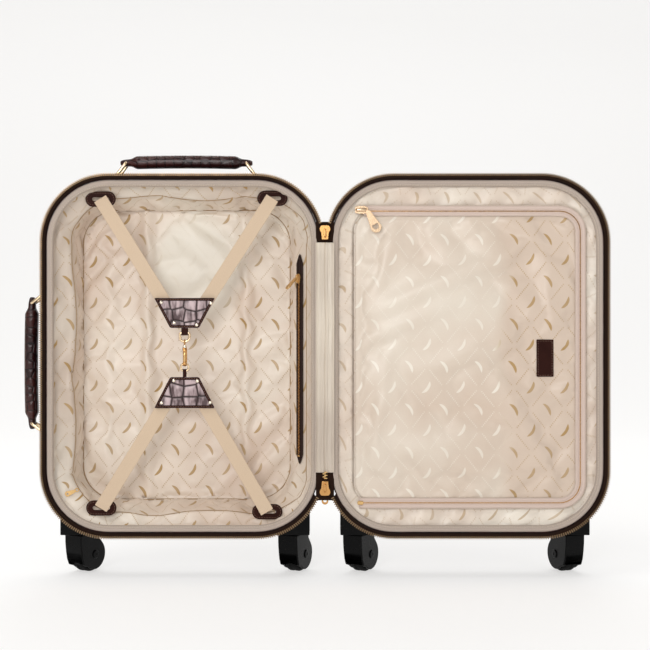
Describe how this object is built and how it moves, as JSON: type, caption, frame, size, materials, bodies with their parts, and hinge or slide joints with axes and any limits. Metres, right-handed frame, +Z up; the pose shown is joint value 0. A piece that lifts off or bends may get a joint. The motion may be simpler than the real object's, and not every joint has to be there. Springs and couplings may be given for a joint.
{
  "type": "hard shell suitcase on wheels",
  "caption": "Upright cabin suitcase standing open like a book: dark croc-embossed hard shells, satin lining, crossed straps with clasp, zipped divider, carry handles, trolley handle, casters.",
  "frame": {"origin": "middle of the open case's box, on the floor", "axes": "+Z up; +X from the case half with the handles to the lid half; -Y out of the open halves, towards the user"},
  "size_m": [0.792, 0.1124, 0.5726],
  "materials": {
    "croc_leather": "glossy dark brown leather embossed with crocodile scales",
    "pale_brass": "polished pale gold",
    "brown_tape": "dark brown woven zip tape",
    "satin_lining": "pale beige satin with a woven golden crescent lattice",
    "grey_binding": "grey-beige grosgrain binding",
    "beige_webbing": "smooth beige strap",
    "black_plastic": "black moulded plastic with a fine grain",
    "tyre_rubber": "black ribbed tyre",
    "satin_aluminium": "satin anodised tube"
  },
  "bodies": {
    "case": {"back_shell": "croc_leather", "case_zip_tape": "brown_tape", "case_rim_trim": "grey_binding", "case_lining": "satin_lining", "strap_upper_left": "beige_webbing", "strap_upper_right": "beige_webbing", "strap_lower_left": "beige_webbing", "strap_lower_right": "beige_webbing", "strap_patch_upper_left": "croc_leather", "strap_patch_upper_right": "croc_leather", "strap_patch_lower_left": "croc_leather", "strap_patch_lower_right": "croc_leather", "upper_clasp_plate": "croc_leather", "lower_clasp_plate": "croc_leather", "upper_d_ring": "pale_brass", "lower_ring": "pale_brass", "pocket_zip_tape": "brown_tape", "top_handle_anchor_left": "pale_brass", "top_handle_anchor_right": "pale_brass", "side_handle_anchor_lower": "pale_brass", "side_handle_anchor_upper": "pale_brass", "trolley_frame": "black_plastic", "case_outer_housing": "black_plastic", "case_inner_housing": "black_plastic", "hinge_gusset": "satin_lining", "upper_main_slider": "pale_brass", "lower_main_slider": "pale_brass"},
    "lid": {"front_shell": "croc_leather", "lid_zip_tape": "brown_tape", "lid_rim_trim": "grey_binding", "lid_lining": "satin_lining", "lid_inner_housing": "black_plastic", "lid_outer_housing": "black_plastic"},
    "divider": {"divider_panel": "satin_lining"},
    "divider_slider": {"divider_slider": "pale_brass"},
    "divider_puller": {"divider_puller": "pale_brass"},
    "pocket_slider": {"pocket_slider": "pale_brass"},
    "pocket_puller": {"pocket_puller": "pale_brass"},
    "clasp_hook": {"clasp_hook": "pale_brass"},
    "clasp_gate": {"clasp_gate": "pale_brass"},
    "upper_main_puller": {"upper_main_puller": "pale_brass"},
    "lower_main_puller": {"lower_main_puller": "pale_brass"},
    "top_ring_left": {"top_handle_ring_left": "pale_brass"},
    "top_grip": {"top_handle_grip": "croc_leather"},
    "top_ring_right": {"top_handle_ring_right": "pale_brass"},
    "side_ring_lower": {"side_handle_ring_lower": "pale_brass"},
    "side_grip": {"side_handle_grip": "croc_leather"},
    "side_ring_upper": {"side_handle_ring_upper": "pale_brass"},
    "trolley_stage": {"trolley_stage_left": "satin_aluminium", "trolley_stage_right": "satin_aluminium"},
    "trolley_handle": {"trolley_handle": "black_plastic"},
    "trolley_button": {"trolley_button": "pale_brass"},
    "case_outer_fork": {"case_outer_fork": "black_plastic"},
    "case_outer_wheel": {"case_outer_wheel": "tyre_rubber"},
    "case_inner_fork": {"case_inner_fork": "black_plastic"},
    "case_inner_wheel": {"case_inner_wheel": "tyre_rubber"},
    "lid_inner_fork": {"lid_inner_fork": "black_plastic"},
    "lid_inner_wheel": {"lid_inner_wheel": "tyre_rubber"},
    "lid_outer_fork": {"lid_outer_fork": "black_plastic"},
    "lid_outer_wheel": {"lid_outer_wheel": "tyre_rubber"}
  },
  "joints": [
    {"name": "lid_hinge", "type": "hinge", "parent": "case", "child": "lid", "pos_m": [0.01395, -0.05275, 0.2995], "axis": [0, 0, -1], "range_deg": [0, 180], "deforming": ["hinge_gusset"]},
    {"name": "divider_flap", "type": "hinge", "parent": "lid", "child": "divider", "pos_m": [0.05395, -0.03675, 0.298], "axis": [0, 0, 1], "range_deg": [-40, 0]},
    {"name": "divider_zip", "type": "slide", "parent": "divider", "child": "divider_slider", "axis": [1, 0, 0], "range_m": [0, 0.25]},
    {"name": "divider_puller_swing", "type": "hinge", "parent": "divider_slider", "child": "divider_puller", "pos_m": [0.06725, -0.04505, 0.4956], "axis": [0, 0, 1], "range_deg": [-120, 0]},
    {"name": "pocket_zip", "type": "slide", "parent": "case", "child": "pocket_slider", "axis": [0, 0, -1], "range_m": [0, 0.23]},
    {"name": "pocket_puller_swing", "type": "hinge", "parent": "pocket_slider", "child": "pocket_puller", "pos_m": [-0.02653, -0.01695, 0.4045], "axis": [-0.606, 0.7954, 0], "range_deg": [-30, 60]},
    {"name": "hook_swivel", "type": "hinge", "parent": "case", "child": "clasp_hook", "pos_m": [-0.17505, -0.03575, 0.3], "axis": [0, 0, 1], "range_deg": [-20, 20]},
    {"name": "hook_gate", "type": "hinge", "parent": "clasp_hook", "child": "clasp_gate", "pos_m": [-0.17505, -0.03945, 0.3045], "axis": [1, 0, 0], "range_deg": [0, 18], "stiffness_Nm_per_rad": 0.004, "springref_deg": -8.59},
    {"name": "upper_puller_swing", "type": "hinge", "parent": "case", "child": "upper_main_puller", "pos_m": [0.01395, -0.04715, 0.4683], "axis": [1, 0, 0], "range_deg": [0, 90]},
    {"name": "lower_puller_swing", "type": "hinge", "parent": "case", "child": "lower_main_puller", "pos_m": [0.01395, -0.04715, 0.1272], "axis": [1, 0, 0], "range_deg": [0, 90]},
    {"name": "top_ring_left_sway", "type": "hinge", "parent": "case", "child": "top_ring_left", "pos_m": [-0.27205, -0.01175, 0.541], "axis": [0, 1, 0], "range_deg": [-8, 8]},
    {"name": "top_grip_sway", "type": "hinge", "parent": "top_ring_left", "child": "top_grip", "pos_m": [-0.25605, -0.01175, 0.562], "axis": [0, 1, 0], "range_deg": [-10, 10]},
    {"name": "top_ring_right_sway", "type": "hinge", "parent": "case", "child": "top_ring_right", "pos_m": [-0.07805, -0.01175, 0.541], "axis": [0, 1, 0], "range_deg": [-8, 8]},
    {"name": "side_ring_lower_sway", "type": "hinge", "parent": "case", "child": "side_ring_lower", "pos_m": [-0.36455, -0.01175, 0.192], "axis": [0, 1, 0], "range_deg": [-8, 8]},
    {"name": "side_grip_sway", "type": "hinge", "parent": "side_ring_lower", "child": "side_grip", "pos_m": [-0.38555, -0.01175, 0.208], "axis": [0, 1, 0], "range_deg": [-10, 10]},
    {"name": "side_ring_upper_sway", "type": "hinge", "parent": "case", "child": "side_ring_upper", "pos_m": [-0.36455, -0.01175, 0.386], "axis": [0, 1, 0], "range_deg": [-8, 8]},
    {"name": "trolley_lower_slide", "type": "slide", "parent": "case", "child": "trolley_stage", "axis": [0, 0, 1], "range_m": [0, 0.22]},
    {"name": "trolley_upper_slide", "type": "slide", "parent": "trolley_stage", "child": "trolley_handle", "axis": [0, 0, 1], "range_m": [0, 0.22]},
    {"name": "trolley_button_press", "type": "slide", "parent": "trolley_handle", "child": "trolley_button", "axis": [0, 0, -1], "range_m": [0, 0.003], "stiffness_N_per_m": 200, "springref_m": -0.002},
    {"name": "case_outer_swivel", "type": "hinge", "parent": "case", "child": "case_outer_fork", "pos_m": [-0.32305, 0.00625, 0.054], "axis": [0, 0, 1], "continuous": true},
    {"name": "case_outer_spin", "type": "hinge", "parent": "case_outer_fork", "child": "case_outer_wheel", "pos_m": [-0.31605, 0.01837, 0.024], "axis": [0.866, -0.5, 0], "continuous": true},
    {"name": "case_inner_swivel", "type": "hinge", "parent": "case", "child": "case_inner_fork", "pos_m": [-0.03105, 0.00625, 0.054], "axis": [0, 0, 1], "continuous": true},
    {"name": "case_inner_spin", "type": "hinge", "parent": "case_inner_fork", "child": "case_inner_wheel", "pos_m": [-0.02536, 0.01904, 0.024], "axis": [0.9135, -0.4067, 0], "continuous": true},
    {"name": "lid_inner_swivel", "type": "hinge", "parent": "lid", "child": "lid_inner_fork", "pos_m": [0.05895, 0.00625, 0.054], "axis": [0, 0, 1], "continuous": true},
    {"name": "lid_inner_spin", "type": "hinge", "parent": "lid_inner_fork", "child": "lid_inner_wheel", "pos_m": [0.06595, 0.01837, 0.024], "axis": [0.866, -0.5, 0], "continuous": true},
    {"name": "lid_outer_swivel", "type": "hinge", "parent": "lid", "child": "lid_outer_fork", "pos_m": [0.35095, 0.00625, 0.054], "axis": [0, 0, 1], "continuous": true},
    {"name": "lid_outer_spin", "type": "hinge", "parent": "lid_outer_fork", "child": "lid_outer_wheel", "pos_m": [0.34616, 0.01941, 0.024], "axis": [0.9397, 0.342, 0], "continuous": true}
  ],
  "couplings": [
    {"joint": "top_grip_sway", "follows": "top_ring_left_sway", "ratio": -1.1975},
    {"joint": "top_ring_right_sway", "follows": "top_ring_left_sway", "ratio": 1},
    {"joint": "side_grip_sway", "follows": "side_ring_lower_sway", "ratio": -1.1975},
    {"joint": "side_ring_upper_sway", "follows": "side_ring_lower_sway", "ratio": 1}
  ]
}
